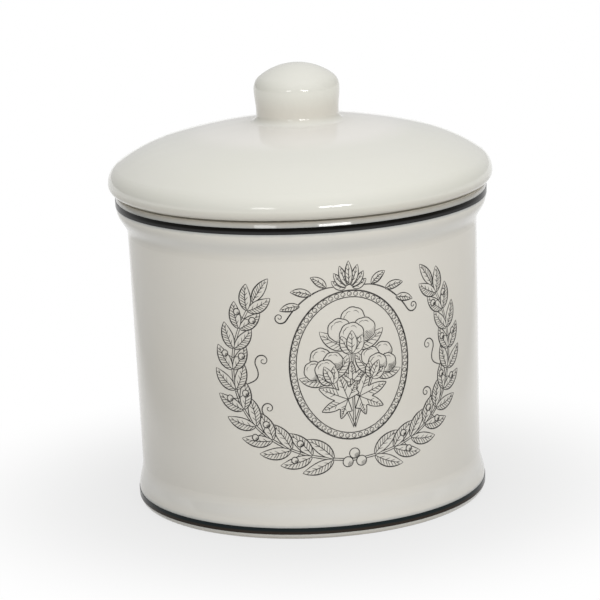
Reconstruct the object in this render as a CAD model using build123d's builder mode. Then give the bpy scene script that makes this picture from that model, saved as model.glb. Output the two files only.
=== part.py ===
"""Round glazed ceramic cotton pad jar with a domed lid.

A slip-cast jar with a rolled rim and a spread foot, two painted lines, and a lift-off lid whose
ring drops into the jar's mouth. The lid's hollow knob is cast apart and luted on a low collar, which
rises from the dome in a cove and runs on into the knob's side.
Sizes are in millimetres and angles in degrees. The origin is at the centre of the foot, on the
table, with +Z up.
"""

import os
from math import asin, atan2, cos, degrees, radians, sin, sqrt

from build123d import *

# Jar: its diameter is across the wall under the rim, and the wall draws in a little towards the foot
jar_height = 93.5
jar_diameter = 103.8
wall_draft = 0.9
rim_flare = 3.1
foot_flare = 1.3
wall_thickness = 4.5
floor_thickness = 4.5
rim_cove_height = 8.4
foot_cove_height = 8.0
lip_height = 1.3
lip_lean = 10.0
lip_crown_radius = 8.5
lip_round = 0.5
mouth_round = 1.2
floor_round = 9.0
foot_round = 1.55
foot_ring_width = 4.4
foot_recess_depth = 1.8
foot_recess_draft = 0.9
foot_recess_round = 1.4

# Painted lines, each on a plain upright land of the rim or foot
line_width = 1.9
line_thickness = 0.12
land_margin = 0.1

# Lid: heights above its seat on the rim; a flat crown turns into a rounder shoulder, then into the edge,
# and a tighter corner leads under it. Outside the seat the underside rises a little, which leaves an
# open joint above the jar's lip.
lid_overhang = 2.0
lid_edge_round = 5.9
lid_corner_round = 2.8
seat_width = 4.5
seat_relief = 0.55
dome_rise = 20.4
shoulder_rise = 14.4
shoulder_width = 15.4
lid_thickness = 5.0
ring_depth = 7.0
ring_thickness = 4.2
ring_clearance = 0.9
ring_edge_round = 1.3
ring_root_round = 0.7
dome_root_round = 5.0

# Knob, with the collar on the lid that carries it
knob_diameter = 25.4
knob_base_diameter = 24.4
knob_height = 14.15
knob_shoulder_round = 4.6
knob_crown_rise = 2.75
knob_wall = 4.1
knob_hollow_round = 4.0
collar_height = 2.75
collar_cove = 2.4
vent_round = 0.9


# Radii and heights that the pieces share
wall_top_radius = jar_diameter / 2
wall_base_radius = wall_top_radius - wall_draft
rim_radius = wall_top_radius + rim_flare
foot_radius = wall_base_radius + foot_flare
land_height = line_width + 2 * land_margin
mouth_radius = wall_top_radius - wall_thickness
floor_top = foot_recess_depth + floor_thickness
foot_land_top = foot_round + land_height
rim_land_top = jar_height - lip_height
rim_land_base = rim_land_top - land_height
wall_base_height = foot_land_top + foot_cove_height
wall_top_height = rim_land_base - rim_cove_height
foot_ring_outer = foot_radius - foot_round
foot_ring_inner = foot_ring_outer - foot_ring_width

# The jar's body is one revolved wall: sole, spread foot, drafted side, rolled rim, inside and floor.
with BuildPart() as jar:
    with BuildSketch(Plane.XZ) as jar_section:
        with BuildLine():
            side = Vector(wall_draft, wall_top_height - wall_base_height)
            sole = Line((foot_ring_inner, 0), (foot_ring_outer, 0))
            toe = JernArc(sole @ 1, (1, 0), foot_round, 90)
            foot_land = Line(toe @ 1, (foot_radius, foot_land_top))
            foot_cove = Spline(
                foot_land @ 1,
                (wall_base_radius, wall_base_height),
                tangents=((0, 1), side),
            )
            wall = Line(foot_cove @ 1, (wall_top_radius, wall_top_height))
            rim_cove = Spline(wall @ 1, (rim_radius, rim_land_base), tangents=(side, (0, 1)))
            rim_land = Line(rim_cove @ 1, (rim_radius, rim_land_top))
            lip_start = Vector(-sin(radians(lip_lean)), cos(radians(lip_lean)))
            lip_turn = degrees(asin(lip_height / lip_crown_radius - lip_start.X)) - lip_lean
            lip = JernArc(rim_land @ 1, lip_start, lip_crown_radius, lip_turn)
            inside = FilletPolyline(
                lip @ 1,
                (mouth_radius, jar_height),
                (wall_base_radius - wall_thickness, floor_top),
                (0, floor_top),
                radius=[mouth_round, floor_round],
            )
            axis_line = Line(inside @ 1, (0, foot_recess_depth))
            underside = FilletPolyline(
                axis_line @ 1,
                (foot_ring_inner - foot_recess_draft, foot_recess_depth),
                sole @ 0,
                radius=foot_recess_round,
            )
        make_face()
        fillet(jar_section.vertices().sort_by_distance(lip @ 1)[0], lip_round)
    revolve(axis=Axis.Z)
jar.part.label = "jar"


def painted_line(radius, base):
    """A thin fired-on enamel band around an upright land, standing on the glaze."""
    with BuildPart() as band:
        with BuildSketch(Plane.XY.offset(base)):
            Circle(radius + line_thickness)
            Circle(radius, mode=Mode.SUBTRACT)
        extrude(amount=line_width)
    return band.part


rim_line = painted_line(rim_radius, rim_land_base + land_margin)
rim_line.label = "rim_line"
foot_line = painted_line(foot_radius, foot_round + land_margin)
foot_line.label = "foot_line"

# The lid rests with its flat seat on the jar's rim; its ring keeps it centred in the mouth.
seat_height = jar_height
ring_radius = mouth_radius - ring_clearance
ring_inner = ring_radius - ring_thickness
ring_foot = seat_height - ring_depth
lid_radius = rim_radius + lid_overhang
corner_base = Vector(lid_radius - lid_corner_round, seat_height + seat_relief)
edge_centre = Vector(lid_radius - lid_edge_round, corner_base.Y + lid_corner_round)
collar_radius = knob_base_diameter / 2
vent_radius = collar_radius - knob_wall

# The crown's arc is level at the axis and ends where the shoulder starts. The shoulder's arc leaves
# the crown without a break and has the one radius that also meets the round edge without a break.
shoulder_start = Vector(lid_radius - shoulder_width, seat_height + shoulder_rise)
crown_drop = dome_rise - shoulder_rise
dome_radius = (shoulder_start.X**2 + crown_drop**2) / (2 * crown_drop)
dome_centre = seat_height + dome_rise - dome_radius
dome_tilt = degrees(asin(shoulder_start.X / dome_radius))
inward = (Vector(0, dome_centre) - shoulder_start).normalized()
reach = shoulder_start - edge_centre
shoulder_radius = (lid_edge_round**2 - reach.length**2) / (2 * (reach.dot(inward) + lid_edge_round))
to_edge = edge_centre - shoulder_start - inward * shoulder_radius
edge_tilt = degrees(atan2(to_edge.X, to_edge.Y))
collar_top = dome_centre + sqrt(dome_radius**2 - collar_radius**2) + collar_height


def dome_arc(radius, from_radius, to_radius):
    """An arc about the dome's centre, between two distances from the axis."""
    start = 90 - degrees(asin(from_radius / radius))
    end = 90 - degrees(asin(to_radius / radius))
    return CenterArc((0, dome_centre), radius, start, end - start)


with BuildPart() as lid:
    with BuildSketch(Plane.XZ) as lid_section:
        with BuildLine():
            seat = Line((ring_radius, seat_height), (ring_radius + seat_width, seat_height))
            relief = Spline(seat @ 1, corner_base, tangents=((1, 0), (1, 0)))
            lower_corner = JernArc(relief @ 1, (1, 0), lid_corner_round, 90)
            edge = JernArc(lower_corner @ 1, (0, 1), lid_edge_round, 90 - edge_tilt)
            shoulder = JernArc(edge @ 1, edge % 1, shoulder_radius, edge_tilt - dome_tilt)
            dome = dome_arc(dome_radius, shoulder_start.X, collar_radius)
            collar = Polyline(dome @ 1, (collar_radius, collar_top), (vent_radius, collar_top))
            ceiling = dome_arc(dome_radius - lid_thickness, vent_radius, ring_inner)
            vent = Line(collar @ 1, ceiling @ 0)
            ring = FilletPolyline(
                ceiling @ 1,
                (ring_inner, ring_foot),
                (ring_radius, ring_foot),
                seat @ 0,
                radius=ring_edge_round,
            )
        make_face()
        softened = {
            dome @ 1: collar_cove,
            vent @ 1: vent_round,
            ceiling @ 1: dome_root_round,
            seat @ 0: ring_root_round,
        }
        for corner, corner_round in softened.items():
            fillet(lid_section.vertices().sort_by_distance(corner)[0], corner_round)
    revolve(axis=Axis.Z)
lid.part.label = "lid"

# The knob is a hollow casting: a slightly swelling side, a round shoulder and a low crown.
knob_radius = knob_diameter / 2
knob_top = collar_top + knob_height
knob_edge_centre = knob_radius - knob_shoulder_round
crown_height = knob_crown_rise + knob_shoulder_round
knob_side_top = knob_top - crown_height
crown_radius = (knob_edge_centre**2 + crown_height**2 - knob_shoulder_round**2) / (2 * knob_crown_rise)
crown_centre = knob_top - crown_radius
crown_tilt = degrees(asin(knob_edge_centre / (crown_radius - knob_shoulder_round)))
hollow_radius = crown_radius - knob_wall
hollow_tilt = degrees(asin(vent_radius / hollow_radius))

with BuildPart() as knob:
    with BuildSketch(Plane.XZ) as knob_section:
        with BuildLine():
            base = Line((vent_radius, collar_top), (collar_radius, collar_top))
            swell = Spline(base @ 1, (knob_radius, knob_side_top), tangents=((0, 1), (0, 1)))
            knob_shoulder = JernArc(swell @ 1, (0, 1), knob_shoulder_round, 90 - crown_tilt)
            top = CenterArc((0, crown_centre), crown_radius, 90 - crown_tilt, crown_tilt)
            hollow_top = CenterArc((0, crown_centre), hollow_radius, 90, -hollow_tilt)
            core = Line(top @ 1, hollow_top @ 0)
            bore = Line(hollow_top @ 1, base @ 0)
        make_face()
        fillet(knob_section.vertices().sort_by_distance(bore @ 0)[0], knob_hollow_round)
    revolve(axis=Axis.Z)
knob.part.label = "lid_knob"

os.makedirs("parts", exist_ok=True)
for piece in (jar.part, rim_line, foot_line, lid.part, knob.part):
    export_step(piece, f"parts/{piece.label}.step")
    print(piece.label, round(piece.volume), "mm3")
print("overall height", round(knob_top, 2))
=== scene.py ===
"""Looks of a round glazed ceramic cotton pad jar: glaze, fired lines, a transfer print and studio light.

Lengths are metres where Blender uses them. The print is drawn flat, and the finishes are laid out, in
millimetres. The jar stands on the floor at the origin, and the camera looks at it from -Y.
"""

import math

import bpy
import numpy as np
from mathutils import Matrix, Vector


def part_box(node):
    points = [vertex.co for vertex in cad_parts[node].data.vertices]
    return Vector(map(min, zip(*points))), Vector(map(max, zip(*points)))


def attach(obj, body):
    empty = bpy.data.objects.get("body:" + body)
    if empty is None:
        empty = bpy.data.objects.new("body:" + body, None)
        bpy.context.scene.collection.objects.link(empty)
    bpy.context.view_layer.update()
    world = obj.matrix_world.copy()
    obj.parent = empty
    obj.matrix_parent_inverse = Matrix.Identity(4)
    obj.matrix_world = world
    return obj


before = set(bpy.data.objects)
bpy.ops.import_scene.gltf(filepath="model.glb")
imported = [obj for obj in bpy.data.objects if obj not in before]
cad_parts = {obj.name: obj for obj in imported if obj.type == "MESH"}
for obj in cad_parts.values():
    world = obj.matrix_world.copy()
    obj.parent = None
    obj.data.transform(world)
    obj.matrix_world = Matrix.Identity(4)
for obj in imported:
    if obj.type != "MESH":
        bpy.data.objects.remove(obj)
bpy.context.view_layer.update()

MM = 0.001
TAU = 2 * math.pi
RING_SPREAD = 0.05


def heights(node):
    """Lowest and highest level of a CAD node, in millimetres."""
    low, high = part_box(node)
    return low.z / MM, high.z / MM


def radius_at(node, level):
    """Outer radius of a round CAD node at its ring of corners nearest to a level, in millimetres."""
    corners = np.array([v.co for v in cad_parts[node].data.vertices]) / MM
    away = np.abs(corners[:, 2] - level)
    ring = corners[away < away.min() + RING_SPREAD]
    return float(np.hypot(ring[:, 0], ring[:, 1]).max())


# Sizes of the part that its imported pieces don't tell: a cove joins the wall to the land under each line,
# and a collar carries the knob
LAND_MARGIN = 0.1
FOOT_COVE = 8.0
RIM_COVE = 8.4
COLLAR = 2.75

# Levels and radii that the finishes follow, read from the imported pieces
SEAT = heights("jar")[1]
RIM_LINE = heights("rim_line")
FOOT_LINE = heights("foot_line")
RING_FOOT = heights("lid")[0]
KNOB_FOOT = heights("lid_knob")[0]
WALL_LEVELS = (FOOT_LINE[1] + LAND_MARGIN + FOOT_COVE, RIM_LINE[0] - LAND_MARGIN - RIM_COVE)
WALL_RADII = [radius_at("jar", level) for level in WALL_LEVELS]
LIP_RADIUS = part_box("jar")[1].x / MM


# Shader writing


class Value:
    """An output of a node. Where it is a number, Python's operators on it add Math nodes."""

    def __init__(self, finish, socket):
        self.finish = finish
        self.socket = socket

    def output(self, name):
        """Another output of the same node."""
        return Value(self.finish, self.socket.node.outputs[name])

    def math(self, operation, *sockets):
        """The outcome of a Math node."""
        return self.finish.node("ShaderNodeMath", {"operation": operation}, dict(enumerate(sockets)))

    def __add__(self, other):
        return self.math("ADD", self, other)

    def __sub__(self, other):
        return self.math("SUBTRACT", self, other)

    def __rsub__(self, other):
        return self.math("SUBTRACT", other, self)

    def __mul__(self, other):
        return self.math("MULTIPLY", self, other)

    def __truediv__(self, other):
        return self.math("DIVIDE", self, other)

    def __pow__(self, power):
        return self.math("POWER", self, power)

    def __abs__(self):
        return self.math("ABSOLUTE", self)

    def __or__(self, other):
        return self.math("MAXIMUM", self, other)

    def __and__(self, other):
        return self.math("MINIMUM", self, other)

    __radd__ = __add__
    __rmul__ = __mul__


class Finish:
    """A node tree and the shorthand that writes it. Places are in millimetres on the piece at rest."""

    def __init__(self, name, tree=None):
        if tree is None:
            self.material = bpy.data.materials.new(name)
            self.material.use_nodes = True
            tree = self.material.node_tree
        self.tree = tree
        self.tree.nodes.clear()

    def node(self, kind, settings=None, sockets=None, output=0):
        """Adds a node: its settings first, then a link or a plain value for each socket."""
        made = self.tree.nodes.new(kind)
        for name, setting in (settings or {}).items():
            setattr(made, name, setting)
        for key, value in (sockets or {}).items():
            if isinstance(value, Value):
                self.tree.links.new(value.socket, made.inputs[key])
            else:
                made.inputs[key].default_value = value
        return Value(self, made.outputs[output]) if made.outputs else made

    def place(self):
        """Where a point lies on the piece, in millimetres."""
        where = self.node("ShaderNodeTexCoord").output("Object")
        return self.node("ShaderNodeVectorMath", {"operation": "SCALE"}, {0: where, "Scale": 1 / MM})

    def axes(self, where):
        """The X, Y and Z of a place."""
        split = self.node("ShaderNodeSeparateXYZ", None, {0: where})
        return split, split.output("Y"), split.output("Z")

    def from_axis(self, where):
        """Distance from the jar's axis."""
        level = self.node("ShaderNodeVectorMath", {"operation": "MULTIPLY"}, {0: where, 1: (1, 1, 0)})
        return self.node("ShaderNodeVectorMath", {"operation": "LENGTH"}, {0: level}, output="Value")

    def noise(self, where, size, detail=2.0, roughness=0.5):
        """Soft noise from 0 to 1, with features of about the given size in millimetres."""
        sockets = {"Vector": where, "Scale": 1 / size, "Detail": detail, "Roughness": roughness}
        return self.node("ShaderNodeTexNoise", None, sockets)

    def cells(self, where, size):
        """Distance in millimetres to the nearest of scattered points, and that point's random number."""
        near = self.node("ShaderNodeTexVoronoi", None, {"Vector": where, "Scale": 1 / size})
        chance = self.node("ShaderNodeSeparateColor", None, {0: near.output("Color")})
        return near * size, chance

    def ramp(self, value, low, high):
        """Rises smoothly from 0 at low to 1 at high, or falls where low is the larger."""
        sockets = {"Value": value, "From Min": low, "From Max": high}
        return self.node("ShaderNodeMapRange", {"interpolation_type": "SMOOTHSTEP"}, sockets)

    def mix(self, share, one, other):
        """Blends two colours."""
        return self.node("ShaderNodeMix", {"data_type": "RGBA"}, {0: share, 6: one, 7: other}, output=2)

    def bump(self, height, distance, normal=None):
        """Relief of a height from 0 to 1 over a distance in millimetres."""
        sockets = {"Height": height, "Distance": distance * MM, "Strength": 1.0}
        if normal is not None:
            sockets["Normal"] = normal
        return self.node("ShaderNodeBump", None, sockets)

    def looked_at(self):
        """1 where the camera, a reflection or a view through glass meets the surface, or else 0."""
        rays = self.node("ShaderNodeLightPath")
        indirect = rays.output("Is Glossy Ray") | rays.output("Is Transmission Ray")
        return rays.output("Is Camera Ray") | indirect

    def surface(self, shader):
        """Ends the tree with a shader, and gives the finished material."""
        self.node("ShaderNodeOutputMaterial", None, {"Surface": shader})
        return self.material


def rgb(red, green, blue):
    """A colour written as screen values from 0 to 255, in Blender's linear light."""
    shares = (channel / 255 for channel in (red, green, blue))
    linear = (s / 12.92 if s <= 0.04045 else ((s + 0.055) / 1.055) ** 2.4 for s in shares)
    return (*linear, 1.0)


# Finishes

CREAM = rgb(226, 225, 214)
IVORY = rgb(228, 223, 212)
THIN_GLAZE = rgb(220, 213, 200)
POOLED_GLAZE = rgb(228, 227, 222)
# Painted warm shade for the knob's foot and the collar under it
PAINTED_KNOB_SHADE = rgb(208, 201, 189)
# Painted light that lightens the dome round the knob against the knob's shade
PAINTED_DOME_LIGHT = rgb(236, 233, 227)
BISQUE = rgb(213, 203, 186)
SPECK = rgb(112, 98, 84)
BLEED = rgb(150, 159, 164)
# Painted shade for the lip under the lid's overhang
PAINTED_LIP_SHADE = rgb(150, 147, 139)
RIM_ENAMEL = (rgb(10, 8, 4), rgb(58, 58, 58))
FOOT_ENAMEL = (rgb(33, 41, 43), rgb(60, 52, 45))
INK = rgb(38, 36, 34)
THIN_INK = rgb(86, 82, 78)

# What the jar's and the lid's glaze have in common, with sizes and heights in millimetres
GLAZE_IOR = 1.52
GLAZE_GLOSS = 0.05
SMEAR_GLOSS = 0.04
BISQUE_GLOSS = 0.82
MOTTLE_SIZE = 26.0
MOTTLE_SHARE = 0.5
SPECK_SPACING = 13.0
SPECK_RADIUS = 0.34
SPECK_EDGE = 0.16
SPECK_CHANCE = (0.72, 1.0)
GRAIN_SIZE = 0.7
GRAIN_HEIGHT = 0.05
SMEAR_SIZE = 9.0
SMEAR_LEVELS = (0.5, 0.8)
WAVE_SIZE = 21.0
WAVE_HEIGHT = 0.16
PEEL_SIZE = 3.2
PEEL_HEIGHT = 0.003
PIT_SPACING = 6.0
PIT_RADII = (0.04, 0.22)
PIT_CHANCE = (0.3, 0.2)
PIT_DEPTH = 0.03
BARE_WANDER = 0.3


def glaze(name, colour, layers, bare):
    """Glossy glaze over pale clay. Each layer is a colour, its strength and a function that gives its
    share from 0 to 1 at a place on the piece; bare gives the share of unglazed clay in the same way."""
    finish = Finish(name)
    where = finish.place()
    mottle = finish.noise(where, MOTTLE_SIZE)
    shade = finish.mix(mottle * MOTTLE_SHARE, colour, POOLED_GLAZE)
    for layer, strength, share in layers:
        shade = finish.mix(share(finish, where) * strength, shade, layer)

    speck_distance, speck_chance = finish.cells(where, SPECK_SPACING)
    speck_size = finish.ramp(speck_chance, *SPECK_CHANCE) * SPECK_RADIUS
    specks = finish.ramp(speck_distance - speck_size, 0.0, -SPECK_EDGE)
    shade = finish.mix(specks, shade, SPECK)

    bare_share = bare(finish, where)
    grain = finish.noise(where, GRAIN_SIZE, detail=4.0)
    clay = finish.mix(grain, BISQUE, THIN_GLAZE)
    shade = finish.mix(bare_share, shade, clay)

    smears = finish.ramp(finish.noise(where, SMEAR_SIZE, detail=3.0), *SMEAR_LEVELS)
    gloss = GLAZE_GLOSS + smears * SMEAR_GLOSS
    gloss = gloss + bare_share * (BISQUE_GLOSS - GLAZE_GLOSS)

    waves = finish.bump(finish.noise(where, WAVE_SIZE, detail=1.0), WAVE_HEIGHT)
    peel = finish.bump(finish.noise(where, PEEL_SIZE, detail=1.0), PEEL_HEIGHT, waves)
    pit_distance, pit_chance = finish.cells(where, PIT_SPACING)
    pits = finish.ramp(pit_distance, *PIT_RADII) | finish.ramp(pit_chance, *PIT_CHANCE)
    relief = finish.bump(pits, PIT_DEPTH, peel)
    relief = finish.bump(grain * bare_share, GRAIN_HEIGHT, relief)

    sockets = {"Base Color": shade, "Roughness": gloss, "Normal": relief, "IOR": GLAZE_IOR}
    return finish.surface(finish.node("ShaderNodeBsdfPrincipled", None, sockets))


# The jar's glaze: levels, reaches and sizes of features in millimetres
LIP_THINNING = (SEAT - 0.9, SEAT - 0.1)
TOE_THINNING = (1.4, 0.3)
SOLE_BARE = (0.4, 0.25)
SOLE_EDGE_SIZE = 4.0
BLEED_REACH = 0.7
BLEED_WANDER = 0.8
BLEED_SIZE = 2.5
TOE_BLEED = 0.5
# The lip's painted shade: it grows towards the seat, fades out just below it and lies only on the lip's
# outside
LIP_SHADE_LEVELS = (RIM_LINE[1] - 1.0, SEAT)
LIP_SHADE_TOP = (SEAT - 0.02, SEAT - 0.2)
LIP_SHADE_RADII = (LIP_RADIUS - 1.5, LIP_RADIUS - 1.0)


def jar_glaze():
    """Ivory glaze: thin on lip and toe, with glaze pooling in the coves, stained by the lines, and with
    painted shade on the lip under the lid.
    """

    def thin(finish, where):
        z = finish.axes(where)[2]
        return finish.ramp(z, *LIP_THINNING) | finish.ramp(z, *TOE_THINNING)

    # Glaze pooling in the coves under the rim and over the foot
    def pooled_glaze_and_painted_light(finish, where):
        z = finish.axes(where)[2]
        under_rim = finish.ramp(abs(z - WALL_LEVELS[1] - RIM_COVE / 2), RIM_COVE / 2, 0.0)
        over_foot = finish.ramp(abs(z - WALL_LEVELS[0] + FOOT_COVE / 2), FOOT_COVE / 2, 0.0)
        return under_rim | over_foot

    def bare(finish, where):
        z = finish.axes(where)[2]
        return finish.ramp(z + finish.noise(where, SOLE_EDGE_SIZE) * BARE_WANDER, *SOLE_BARE)

    def bleed(finish, where):
        z = finish.axes(where)[2]
        reach = BLEED_REACH + finish.noise(where, BLEED_SIZE) * BLEED_WANDER
        shares = []
        for low, high in (RIM_LINE, FOOT_LINE):
            away = abs(z - (low + high) / 2) - (high - low) / 2
            shares.append(finish.ramp(away / reach, 1.0, 0.0))
        above_toe = TOE_BLEED + finish.ramp(z, *FOOT_LINE) * (1.0 - TOE_BLEED)
        return (shares[0] | shares[1]) * above_toe

    # Painted shade on the lip under the lid's overhang, darkest just below the seat
    def painted_lip_shade(finish, where):
        z = finish.axes(where)[2]
        outside = finish.ramp(finish.from_axis(where), *LIP_SHADE_RADII)
        return finish.ramp(z, *LIP_SHADE_LEVELS) * outside * finish.ramp(z, *LIP_SHADE_TOP)

    layers = [
        (THIN_GLAZE, 0.7, thin),
        (POOLED_GLAZE, 0.6, pooled_glaze_and_painted_light),
        (BLEED, 0.55, bleed),
        (PAINTED_LIP_SHADE, 0.6, painted_lip_shade),
    ]
    return glaze("jar_glaze", IVORY, layers, bare)


# The lid's glaze: levels, reaches, distances from the axis and sizes of features in millimetres
EDGE_LEVEL = SEAT + 2.0
EDGE_THINNING = (2.5, 0.0)
# How far up the knob its painted shade reaches
KNOB_SHADE_HEIGHT = 7.0
# Where the dome's painted light lies: near the axis and below the knob's collar
DOME_LIGHT_RADII = (36.0, 26.0)
DOME_LIGHT_LEVELS = (KNOB_FOOT - COLLAR * 0.7, KNOB_FOOT - COLLAR * 1.2)
SEAT_BARE_LEVEL = SEAT + 0.1
SEAT_BARE = (0.35, 0.2)
RING_BARE = (RING_FOOT + 0.6, RING_FOOT + 0.4)
SEAT_EDGE_SIZE = 3.0


def lid_glaze():
    """Cream glaze: thin along the lid's edge, with painted warm shade at the knob's foot and painted light
    on the dome round the knob.
    """

    def thin(finish, where):
        z = finish.axes(where)[2]
        return finish.ramp(abs(z - EDGE_LEVEL), *EDGE_THINNING)

    # Painted warm shade, strongest where the knob meets its collar
    def painted_knob_shade(finish, where):
        z = finish.axes(where)[2]
        knob_side = finish.ramp(z, KNOB_FOOT + KNOB_SHADE_HEIGHT, KNOB_FOOT)
        collar_side = finish.ramp(z, KNOB_FOOT - COLLAR, KNOB_FOOT)
        return knob_side * collar_side

    # Painted light on the dome round the knob
    def pooled_glaze_and_painted_light(finish, where):
        z = finish.axes(where)[2]
        below_cove = finish.ramp(z, *DOME_LIGHT_LEVELS)
        return finish.ramp(finish.from_axis(where), *DOME_LIGHT_RADII) * below_cove

    def bare(finish, where):
        z = finish.axes(where)[2]
        ragged = z + finish.noise(where, SEAT_EDGE_SIZE) * BARE_WANDER
        seat = finish.ramp(abs(ragged - SEAT_BARE_LEVEL), *SEAT_BARE)
        foot = finish.ramp(ragged, *RING_BARE)
        return seat | foot

    layers = [
        (THIN_GLAZE, 0.45, thin),
        (PAINTED_KNOB_SHADE, 0.6, painted_knob_shade),
        (PAINTED_DOME_LIGHT, 0.9, pooled_glaze_and_painted_light),
    ]
    return glaze("lid_glaze", CREAM, layers, bare)


# The painted lines: sizes, heights and reaches in millimetres
BRUSH_STRETCH = (0.12, 0.12, 1.6)
STREAK_SIZE = 1.0
STREAK_HEIGHT = 0.01
STREAK_LEVELS = (0.55, 0.85)
STREAK_SHARE = 0.35
EDGE_WANDER = 0.2
EDGE_INSIDE = 0.02
EDGE_OUTSIDE = 0.16
# The line turns lighter from above its middle towards its bottom
FADE_DOWN_WANDER = 0.3
FADE_DOWN_ABOVE = 0.4
FADE_DOWN_BELOW = 0.3
FADE_DOWN_SHARE = 0.9
ENAMEL_GLOSS = 0.13
STREAK_GLOSS = 0.1
ENAMEL_SPECULAR = 0.06


def line_enamel(name, levels, shades):
    """Fired black line: streaky along the brush's path, darker near its top, lighter towards its bottom and
    thin at its two edges.
    """
    low, high = levels
    middle, half = (low + high) / 2, (high - low) / 2
    dense, sparse = shades
    finish = Finish(name)
    where = finish.place()
    z = finish.axes(where)[2]
    drawn = finish.node("ShaderNodeVectorMath", {"operation": "MULTIPLY"}, {0: where, 1: BRUSH_STRETCH})
    streaks = finish.noise(drawn, STREAK_SIZE, detail=3.0)
    edge = finish.ramp(abs(z - middle) + streaks * EDGE_WANDER, half - EDGE_INSIDE, half + EDGE_OUTSIDE)
    lighter_below = finish.ramp(z + streaks * FADE_DOWN_WANDER, middle + FADE_DOWN_ABOVE, middle - FADE_DOWN_BELOW) * FADE_DOWN_SHARE
    thin = finish.ramp(streaks, *STREAK_LEVELS) * STREAK_SHARE | edge | lighter_below
    sockets = {
        "Base Color": finish.mix(thin, dense, sparse),
        "Roughness": ENAMEL_GLOSS + streaks * STREAK_GLOSS,
        "Normal": finish.bump(streaks, STREAK_HEIGHT),
        "Specular IOR Level": ENAMEL_SPECULAR,
    }
    return finish.surface(finish.node("ShaderNodeBsdfPrincipled", None, sockets))


# The print's ink: sizes and heights in millimetres
INK_IOR = 1.5
INK_GLOSS = 0.16
THIN_INK_GLOSS = 0.12
PATCH_SIZE = 7.0
PATCH_SHARE = 0.6
INK_GRAIN_SIZE = 0.35
INK_GRAIN_HEIGHT = 0.008
THIN_INK_LEVELS = (0.42, 0.72)


def print_ink():
    """Transfer ink: an uneven dark film that lets some glaze through where it is thin."""
    finish = Finish("print_ink")
    where = finish.place()
    patches = finish.noise(where, PATCH_SIZE, detail=3.0)
    grain = finish.noise(where, INK_GRAIN_SIZE, detail=2.0)
    uneven = patches * PATCH_SHARE + grain * (1.0 - PATCH_SHARE)
    thin = finish.ramp(uneven, *THIN_INK_LEVELS)
    sockets = {
        "Base Color": finish.mix(thin, INK, THIN_INK),
        "Roughness": INK_GLOSS + thin * THIN_INK_GLOSS,
        "Normal": finish.bump(grain, INK_GRAIN_HEIGHT),
        "IOR": INK_IOR,
    }
    return finish.surface(finish.node("ShaderNodeBsdfPrincipled", None, sockets))


# Transfer print, drawn flat in millimetres: u runs to the right along the wall and v runs up it

STROKE_STEP = 0.25
FINE_INK = 0.2
BRACT_INK = 0.28
LINE_INK = 0.32
BOLD_INK = 0.46
LEAF_POINTS = 40
VEIN_POINTS = (3, 30)
VEIN_LEAD = 5
MEDALLION = (17.8, 21.8)
MEDALLION_CENTRE = (0.0, 0.4)
MEDALLION_BAND = 1.9
MEDALLION_BEADS = 64
BEAD_RADIUS = 0.62
FLUFF_SHADE_TURN = -0.9
LAUREL_LEAVES = 11
BERRY_RADIUS = 0.95


def spaced(points, step=STROKE_STEP):
    """The same line, with its points an even step apart."""
    points = np.asarray(points, float)
    run = np.concatenate([[0], np.cumsum(np.hypot(*np.diff(points, axis=0).T))])
    places = np.linspace(0, run[-1], max(2, round(run[-1] / step) + 1))
    return np.stack([np.interp(places, run, axis) for axis in points.T], -1)


def heading(angle):
    """The unit vector, or vectors, that point along an angle."""
    return np.stack([np.cos(angle), np.sin(angle)], -1)


def arc(centre, radii, start=0.0, end=TAU, count=48):
    """Points along an ellipse, or a circle where both radii are the same."""
    return np.asarray(centre) + np.asarray(radii) * heading(np.linspace(start, end, count))


def curve(*handles, count=48):
    """A cubic Bezier curve from its four handles."""
    a, b, c, d = (np.asarray(handle, float) for handle in handles)
    t = np.linspace(0, 1, count)[:, None]
    return (1 - t) ** 3 * a + 3 * (1 - t) ** 2 * t * b + 3 * (1 - t) * t**2 * c + t**3 * d


def volute(centre, outer, inner, start, turns, count=64):
    """A spiral that tightens evenly from the outer radius to the inner one."""
    t = np.linspace(0, 1, count)
    radius = outer * (inner / outer) ** t
    return np.asarray(centre) + radius[:, None] * heading(start + turns * TAU * t)


def beside(line, offset):
    """A line drawn at a distance to the left of another one."""
    along = np.gradient(line, axis=0)
    left = np.stack([-along[:, 1], along[:, 0]], -1) / np.hypot(*along.T)[:, None]
    return line + left * offset


def within(points, outline):
    """Which points lie inside a closed outline, by counting the edges that a level ray crosses."""
    x, y = points.T[:, :, None]
    x0, y0 = outline.T
    x1, y1 = np.roll(outline, -1, axis=0).T
    spans = (y0 > y) != (y1 > y)
    rise = np.where(y1 == y0, 1, y1 - y0)
    return (spans & (x < x0 + (x1 - x0) * (y - y0) / rise)).sum(axis=1) % 2 == 1


class Plate:
    """An engraved plate, drawn from front to back: a covered shape hides what is drawn after it."""

    def __init__(self):
        self.strokes = []
        self.covers = []

    def shows(self, points):
        """Which points no covered shape hides."""
        open_ground = np.ones(len(points), bool)
        for outline, low, high in self.covers:
            near = open_ground & np.all((points >= low) & (points <= high), axis=1)
            if near.any():
                open_ground[near] = ~within(points[near], outline)
        return open_ground

    def stroke(self, line, ink, start=1.0, end=1.0):
        """Cuts a line whose width tapers to the given shares of the ink width at its two ends."""
        points = spaced(line)
        t = np.linspace(0, 1, len(points))
        taper = 0.3
        swell = np.minimum(start + (1 - start) * t / taper, end + (1 - end) * (1 - t) / taper)
        widths = ink * np.minimum(swell, 1)
        changes = np.diff(np.concatenate([[0], self.shows(points).astype(int), [0]]))
        for first, last in zip(np.flatnonzero(changes == 1), np.flatnonzero(changes == -1)):
            if last - first > 1:
                self.strokes.append((points[first:last], widths[first:last]))

    def cover(self, outline):
        """Hides what is drawn later inside an outline."""
        outline = np.asarray(outline, float)
        self.covers.append((outline, outline.min(axis=0), outline.max(axis=0)))

    def shape(self, outline, ink):
        """A closed outline that also hides what lies behind it."""
        self.stroke(np.concatenate([outline, outline[:1]]), ink)
        self.cover(outline)


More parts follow.
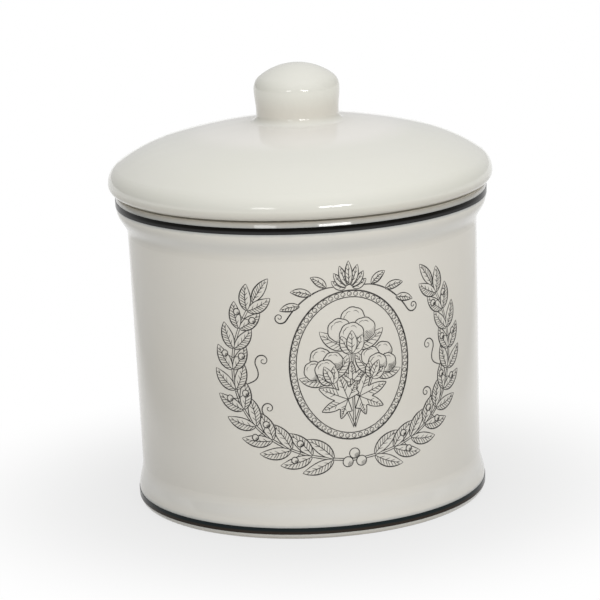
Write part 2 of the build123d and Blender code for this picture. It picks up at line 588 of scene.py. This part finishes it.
def leaf(plate, root, angle, length, width, bend=0.3, shade=1, veins=8, ink=LINE_INK):
    """A pointed leaf on a bent midrib, with close veins on its shaded side and few on the other."""
    t = np.linspace(0, 1, LEAF_POINTS)
    turn = angle + bend * (t - 0.3)
    rib = np.asarray(root) + np.cumsum(heading(turn), axis=0) * length / LEAF_POINTS
    half = (0.5 * width * np.sin(math.pi * t**0.85) ** 0.8)[:, None] * heading(turn + math.pi / 2)
    plate.stroke(rib + half * shade, ink, 0.6, 0.5)
    plate.stroke(rib - half * shade, ink * 1.3, 0.6, 0.5)
    plate.stroke(rib[:-5], ink * 0.85, 1.0, 0.3)
    first, last = VEIN_POINTS
    for k in range(veins):
        joint = round(first + (last - first) * k / (veins - 1))
        tip = min(joint + VEIN_LEAD, LEAF_POINTS - 2)
        plate.stroke([rib[joint], rib[tip] - half[tip] * shade * 0.9], FINE_INK * 1.1, 1.0, 0.4)
        if k % 2:
            plate.stroke([rib[joint], rib[tip] + half[tip] * shade * 0.55], FINE_INK, 1.0, 0.2)
    plate.cover(np.concatenate([rib + half, (rib - half)[::-1]]))


def fluff(plate, centre, radius, phase):
    """One lock of a cotton boll: a scalloped round, shaded by curved strokes at its lower right."""
    t = np.linspace(0, TAU, 90, endpoint=False)
    scallop = radius * (1 + 0.055 * np.abs(np.sin(3.5 * t + phase)))
    outline = np.asarray(centre) + scallop[:, None] * heading(t)
    for k in range(6):
        spread = 1.05 - 0.13 * k
        start, end = FLUFF_SHADE_TURN - spread, FLUFF_SHADE_TURN + spread
        shading = arc(centre, radius * (0.9 - 0.12 * k), start, end)
        plate.stroke(shading, FINE_INK, 0.2, 0.2)
    for k in range(3):
        angle = 1.3 + 0.75 * k + 0.2 * math.sin(phase + 2 * k)
        curl = np.asarray(centre) + 0.45 * radius * heading(angle)
        plate.stroke(arc(curl, radius * 0.32, angle - 0.9, angle + 0.9), FINE_INK, 0.2, 0.2)
    plate.shape(outline, LINE_INK)


def boll(plate, centre, radius, lean):
    """A ripe cotton boll: four locks of fluff between pointed bracts. Gives the top of its stalk."""
    centre = np.asarray(centre, float)
    up, across = heading(lean + math.pi / 2), heading(lean)
    base = centre - up * radius * 0.78
    for k in (0, -1, 1):
        root, angle = base - up * radius * 0.35, lean + math.pi / 2 - 0.62 * k
        length = radius * (1.15 - 0.1 * abs(k))
        leaf(plate, root, angle, length, radius * 0.52, bend=0.5 * k, shade=-1, veins=5, ink=BRACT_INK)
    locks = ((0.0, -0.2, 0.58), (-0.6, 0.06, 0.55), (0.6, 0.04, 0.55), (0.05, 0.55, 0.58))
    for k, (aside, above, size) in enumerate(locks):
        fluff(plate, centre + radius * (across * aside + up * above), radius * size, 1.7 * k + lean)
    for k in (-1, 1):
        angle, length = lean + math.pi / 2 - 1.25 * k, radius * 1.8
        leaf(plate, base, angle, length, radius * 0.66, bend=0.75 * k, shade=k, veins=7, ink=BRACT_INK)
    return base - up * radius * 0.3


def lobed_leaf(plate, root, angle, size):
    """A flat leaf of five pointed lobes, with a vein to each and shorter ones beside it."""
    lobes = ((0.0, 1.0), (0.82, 0.9), (-0.82, 0.9), (1.62, 0.66), (-1.62, 0.66))
    t = np.linspace(-2.3, 2.3, 160)
    reach = np.full_like(t, 0.4)
    for place, length in lobes:
        reach = np.maximum(reach, length * (1 - np.abs(t - place) / 0.52 * 0.72))
    outline = np.concatenate([[root], np.asarray(root) + size * reach[:, None] * heading(t + angle)])
    for place, length in lobes:
        vein, side = heading(angle + place), heading(angle + place + math.pi / 2)
        plate.stroke([root, np.asarray(root) + vein * size * length * 0.92], LINE_INK * 0.8, 1.0, 0.3)
        for k in range(5):
            joint = np.asarray(root) + vein * size * length * (0.32 + 0.125 * k)
            branch = size * length * 0.17 * (1 - 0.16 * k)
            plate.stroke([joint, joint + (vein - side) * branch], FINE_INK * 1.1, 1.0, 0.4)
            if k % 2:
                plate.stroke([joint, joint + (vein + side) * branch * 0.8], FINE_INK, 1.0, 0.3)
    plate.shape(outline, LINE_INK)


def stalk(plate, line, thickness=0.55):
    """A thin stalk: two lines a thickness apart."""
    for offset in (-thickness / 2, thickness / 2):
        plate.stroke(beside(line, offset), LINE_INK * 0.9, 1.0, 0.7)


def berry(plate, centre, radius):
    """A round berry, shaded by curved strokes at its lower right."""
    for k in range(3):
        plate.stroke(arc(centre, radius * (0.78 - 0.22 * k), -1.7, 0.2), FINE_INK, 0.4, 0.4)
    plate.shape(arc(centre, radius, count=28), LINE_INK)


def cotton_sprig(plate):
    """Three bolls and lobed leaves on stalks that meet at one cut end, in the middle of the medallion."""
    tops = [
        boll(plate, (0.4, 10.4), 6.0, -0.03),
        boll(plate, (-8.0, 0.4), 5.0, 0.42),
        boll(plate, (8.2, 0.9), 4.9, -0.45),
    ]
    cut = (0.3, -18.0)
    lobed_leaf(plate, (-1.4, -9.6), 2.72, 9.2)
    lobed_leaf(plate, (2.0, -9.0), 0.36, 9.0)
    lobed_leaf(plate, (0.2, -4.4), 1.62, 6.0)
    for top, bow in zip(tops, ((0.3, -6.0), (-2.6, -10.0), (3.2, -9.0))):
        stalk(plate, curve(top, (top[0] * 0.8, top[1] - 3.0), bow, cut))


def medallion(plate):
    """An oval frame: two lines with a row of beads between them."""
    outer, band = np.array(MEDALLION), MEDALLION_BAND
    plate.stroke(arc(MEDALLION_CENTRE, outer - band, count=160), LINE_INK)
    row = spaced(arc(MEDALLION_CENTRE, outer - band / 2, count=720), 0.05)
    for bead in row[np.linspace(0, len(row), MEDALLION_BEADS, endpoint=False).astype(int)]:
        plate.stroke(arc(bead, BEAD_RADIUS * 0.5, -1.7, 0.2, count=8), FINE_INK, 0.5, 0.5)
        plate.shape(arc(bead, BEAD_RADIUS, count=20), FINE_INK * 1.1)
    plate.stroke(arc(MEDALLION_CENTRE, outer, count=160), BOLD_INK * 1.1)
    plate.cover(arc(MEDALLION_CENTRE, outer, count=160))


# Root, angle and length of each leaf on the scroll
SCROLL_LEAVES = ((6.6, 23.3, 0.75, 5.6), (10.8, 21.4, 0.3, 6.2), (14.2, 18.4, -0.1, 6.0))


def crest(plate):
    """A palmette on top of the medallion, with a leafy scroll that runs down each shoulder of it."""
    root = np.array([0.0, 22.6])
    for k in (0, 1, -1, 2, -2, 3, -3):
        angle = math.pi / 2 + 0.4 * k
        leaf(plate, root + heading(angle), angle, 7.2 - 0.8 * abs(k), 2.1, bend=-0.2 * k,
             shade=1 if k > 0 else -1, veins=5)
    for side in (1, -1):
        mirror = np.array([side, 1])
        for u, v, angle, length in SCROLL_LEAVES:
            turn = angle if side > 0 else math.pi - angle
            leaf(plate, mirror * (u, v), turn, length, 2.3, bend=-0.5 * side, shade=side, veins=6)
        vine = curve((2.2, 23.0), (7.5, 25.0), (14.5, 20.5), (18.1, 14.6)) * mirror
        turn = math.pi * (1.08 if side > 0 else -0.08)
        curl = volute(np.array([20.2, 15.3]) * mirror, 2.2, 0.3, turn, 1.5 * side)
        plate.stroke(np.concatenate([vine, curl]), BOLD_INK, 0.6, 0.5)


# Where each tendril leaves its branch, and the centre, radius and first angle of its curl
TENDRILS = ((0.62, (25.4, 2.6), 2.7, -0.7), (0.42, (24.2, -11.4), 2.5, -1.0))


def laurel(plate, side):
    """A laurel branch up one side of the design, with paired leaves, berries and tendrils."""
    mirror = np.array([side, 1])
    lower = curve((-3.5, -27.6), (16.0, -27.6), (33.2, -20.0), (34.6, -2.0), count=90)
    upper = curve((34.6, -2.0), (35.1, 6.0), (32.4, 13.0), (28.0, 19.6), count=50)
    branch = spaced(np.concatenate([lower, upper[1:]]) * mirror)
    angles = np.unwrap(np.arctan2(*np.gradient(branch, axis=0).T[::-1]))
    last = len(branch) - 1
    leaf(plate, branch[last], angles[last], 8.6, 3.1, bend=0.15 * side, shade=side)
    for k in reversed(range(LAUREL_LEAVES)):
        joint = round(last * (0.13 + 0.83 * k / (LAUREL_LEAVES - 1)))
        for hand in (1, -1):
            turn = angles[joint] + hand * 0.62
            leaf(plate, branch[joint], turn, 10.0 - 0.2 * k, 3.5, bend=-0.45 * hand, shade=-hand)
        if k % 2 == 0 and k:
            stem = round(joint - last * 0.035)
            for hand in (1, -1):
                out = hand * heading(angles[stem] + math.pi / 2)
                centre = branch[stem] + 2.6 * out + 0.8 * heading(angles[stem])
                berry(plate, centre, BERRY_RADIUS)
                plate.stroke([branch[stem], centre], FINE_INK * 1.2)
    stalk(plate, branch, 0.6)
    for root, middle, radius, start in TENDRILS:
        begin = branch[round(last * root)]
        turn = start if side > 0 else math.pi - start
        curl = volute(np.array(middle) * mirror, radius, 0.35, turn, 1.45 * side)
        lead = curl[0] - 4 * (curl[1] - curl[0]) / STROKE_STEP
        stem = curve(begin, begin + (-1.5 * side, 3.5), lead, curl[0])
        plate.stroke(np.concatenate([stem, curl]), LINE_INK * 1.2, 0.7, 0.6)


def drawn_print():
    """The strokes of the whole design, each a line and its widths, with what is in front drawn first."""
    plate = Plate()
    cotton_sprig(plate)
    medallion(plate)
    crest(plate)
    for centre in ((0.0, -25.7), (-2.0, -28.1), (2.0, -28.1)):
        berry(plate, centre, 1.5)
    for side in (1, -1):
        laurel(plate, side)
    return plate.strokes


# The print on the wall: each stroke is a thin closed film with sloping sides, sunk a little into the jar

PRINT_TURN = math.radians(14.0)
PRINT_LEVEL = 50.3
FILM_PROUD = 0.035
FILM_SUNK = 0.06
FILM_SLOPE = 0.04


def on_wall(flat, above):
    """Points of the flat drawing laid on the jar's wall, standing above it by a distance, in metres."""
    z = PRINT_LEVEL + flat[:, 1]
    radius = np.interp(z, WALL_LEVELS, WALL_RADII)
    turn = PRINT_TURN + flat[:, 0] / radius
    radius = radius + above
    return np.stack([radius * np.sin(turn), -radius * np.cos(turn), z], -1) * MM


def print_film():
    """The design's strokes as one mesh, which rides on the jar."""
    corners, faces = [], []
    for line, widths in drawn_print():
        left = beside(line, 1.0) - line
        half = left * widths[:, None] / 2
        crown = left * np.maximum(widths / 2 - FILM_SLOPE, widths / 4)[:, None]
        rails = [
            on_wall(line + crown, FILM_PROUD),
            on_wall(line - crown, FILM_PROUD),
            on_wall(line - half, -FILM_SUNK),
            on_wall(line + half, -FILM_SUNK),
        ]
        start, count = len(corners), len(line)
        corners.extend(np.concatenate(rails).tolist())
        for k in range(count - 1):
            for rail in range(4):
                one, other = start + rail * count + k, start + (rail + 1) % 4 * count + k
                faces.append((one, other, other + 1, one + 1))
        faces.append(tuple(start + rail * count for rail in (3, 2, 1, 0)))
        faces.append(tuple(start + rail * count + count - 1 for rail in range(4)))
    mesh = bpy.data.meshes.new("print_film")
    mesh.from_pydata(corners, [], faces)
    mesh.materials.append(print_ink())
    film = bpy.data.objects.new("print_film", mesh)
    bpy.context.scene.collection.objects.link(film)
    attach(film, "jar")


# Dressing the CAD pieces


def dress(node, material):
    """Gives a CAD node its one material."""
    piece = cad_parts[node]
    piece.data.materials.clear()
    piece.data.materials.append(material)


lid_finish = lid_glaze()
dress("jar", jar_glaze())
dress("lid", lid_finish)
dress("lid_knob", lid_finish)
dress("rim_line", line_enamel("rim_enamel", RIM_LINE, RIM_ENAMEL))
dress("foot_line", line_enamel("foot_enamel", FOOT_LINE, FOOT_ENAMEL))
print_film()


# Camera: a long lens a little above the jar, aimed just left of its axis and held slightly rolled

LENS = 180.0
CAMERA_DISTANCE = 0.901
CAMERA_ELEVATION = math.radians(13.853)
CAMERA_ROLL = math.radians(-2.359)
CAMERA_PIVOT = Vector((0.0, 0.0, 48.26 * MM))
CAMERA_AIM = Vector((-1.54 * MM, 0.0, 58.5 * MM))


def camera():
    """The camera, on the front side of the jar."""
    lens = bpy.data.cameras.new("camera")
    lens.lens = LENS
    made = bpy.data.objects.new("camera", lens)
    away = Vector((0, -math.cos(CAMERA_ELEVATION), math.sin(CAMERA_ELEVATION)))
    made.location = CAMERA_PIVOT + away * CAMERA_DISTANCE
    look = (CAMERA_AIM - made.location).to_track_quat("-Z", "Y").to_matrix()
    made.rotation_euler = (look @ Matrix.Rotation(CAMERA_ROLL, 3, "Z")).to_euler()
    bpy.context.scene.collection.objects.link(made)
    bpy.context.scene.camera = made


camera()


# Studio: a pale floor, a pale surround and two softboxes in front

WHITE = (1.0, 1.0, 1.0, 1.0)
FLOOR_SIZE = 12.0
# Painted shade: the floor's colour near the jar, darker than the table further out
FLOOR_SHADE = rgb(170, 170, 169)
TABLE = rgb(218, 218, 216)
FLOOR_SHADE_REACH = (0.10, 0.30)
PAPER_HALF_WIDTH = 0.105
PAPER_WIDENING = 0.105
PAPER_FRONT = -0.12
PAPER_FADE = 0.06
TABLE_WHITE = 0.35
FAR_WHITE = (0.24, 0.55)
SHADOW_REACH = (0.05, 0.13)
SHADOW_SHARE = 0.25
OVERHEAD_LIGHT = 1.18
FRONT_LIGHT = 0.57
BACK_LIGHT = 0.68
RIGHT_LIGHT = 0.22
SOFTBOX_DISTANCE = 1.5
SOFTBOXES = {
    "left_softbox": {"azimuth": -22.2, "elevation": 13.0, "width": 0.34, "height": 0.20, "glow": 5.6},
    "right_softbox": {"azimuth": 20.0, "elevation": 12.0, "width": 0.50, "height": 0.22, "glow": 13.5},
}


def floor():
    """A pale table, painted darker grey near the jar as shade that also dims the light it bounces onto the
    jar. To the eye and in reflections it is white paper under and behind the jar and far from it, with the
    jar's shadow on it."""
    half = FLOOR_SIZE / 2
    corners = [(-half, -half, 0), (half, -half, 0), (half, half, 0), (-half, half, 0)]
    mesh = bpy.data.meshes.new("floor")
    mesh.from_pydata(corners, [], [(0, 1, 2, 3)])
    finish = Finish("floor_paper")
    where = finish.node("ShaderNodeTexCoord").output("Object")
    x, y, _ = finish.axes(where)
    away = finish.node("ShaderNodeVectorMath", {"operation": "LENGTH"}, {0: where}, output="Value")
    paper = finish.ramp(abs(x) - y * PAPER_WIDENING, PAPER_HALF_WIDTH + PAPER_FADE, PAPER_HALF_WIDTH)
    paper = paper * finish.ramp(y, PAPER_FRONT - PAPER_FADE, PAPER_FRONT)
    paper = paper | finish.ramp(away, *FAR_WHITE)
    paper = TABLE_WHITE + paper * (1.0 - TABLE_WHITE)
    clear = 1.0 - SHADOW_SHARE * finish.ramp(away, *reversed(SHADOW_REACH))
    # Painted shade: the floor is darker grey near the jar
    ground = finish.mix(finish.ramp(away, *FLOOR_SHADE_REACH), FLOOR_SHADE, TABLE)
    sockets = {"Base Color": ground, "Roughness": 1.0, "Specular IOR Level": 0.0}
    matt = finish.node("ShaderNodeBsdfPrincipled", None, sockets)
    white = finish.node("ShaderNodeEmission", None, {"Color": WHITE, "Strength": 1.0})
    share = paper * clear * finish.looked_at()
    sheet = finish.node("ShaderNodeMixShader", None, {0: share, 1: matt, 2: white})
    mesh.materials.append(finish.surface(sheet))
    made = bpy.data.objects.new("floor", mesh)
    bpy.context.scene.collection.objects.link(made)


def surround():
    """A pale room: brightest overhead, then behind the jar, and a little brighter on its right."""
    world = bpy.data.worlds.new("surround")
    world.use_nodes = True
    bpy.context.scene.world = world
    finish = Finish("surround", world.node_tree)
    x, y, z = finish.axes(finish.node("ShaderNodeTexCoord").output("Generated"))
    light = (z | 0.0) ** 2 * OVERHEAD_LIGHT + (y | 0.0) ** 2 * BACK_LIGHT
    light = light - (y & 0.0) * FRONT_LIGHT + (x | 0.0) * RIGHT_LIGHT
    room = finish.node("ShaderNodeBackground", None, {"Color": WHITE, "Strength": light})
    finish.node("ShaderNodeOutputWorld", None, {"Surface": room})


def softbox(name, azimuth, elevation, width, height, glow):
    """A lamp that faces the lid, turned from the camera's side by azimuth."""
    lamp = bpy.data.lights.new(name, "AREA")
    lamp.shape = "RECTANGLE"
    lamp.size = width
    lamp.size_y = height
    lamp.energy = glow * math.pi * width * height
    made = bpy.data.objects.new(name, lamp)
    turn, rise = math.radians(azimuth), math.radians(elevation)
    away = Vector((math.sin(turn) * math.cos(rise), -math.cos(turn) * math.cos(rise), math.sin(rise)))
    made.location = Vector((0, 0, SEAT * MM)) + away * SOFTBOX_DISTANCE
    made.rotation_euler = (-away).to_track_quat("-Z", "Y").to_euler()
    bpy.context.scene.collection.objects.link(made)


floor()
surround()
for lamp_name, setting in SOFTBOXES.items():
    softbox(lamp_name, **setting)

bpy.context.scene.view_settings.view_transform = "Standard"
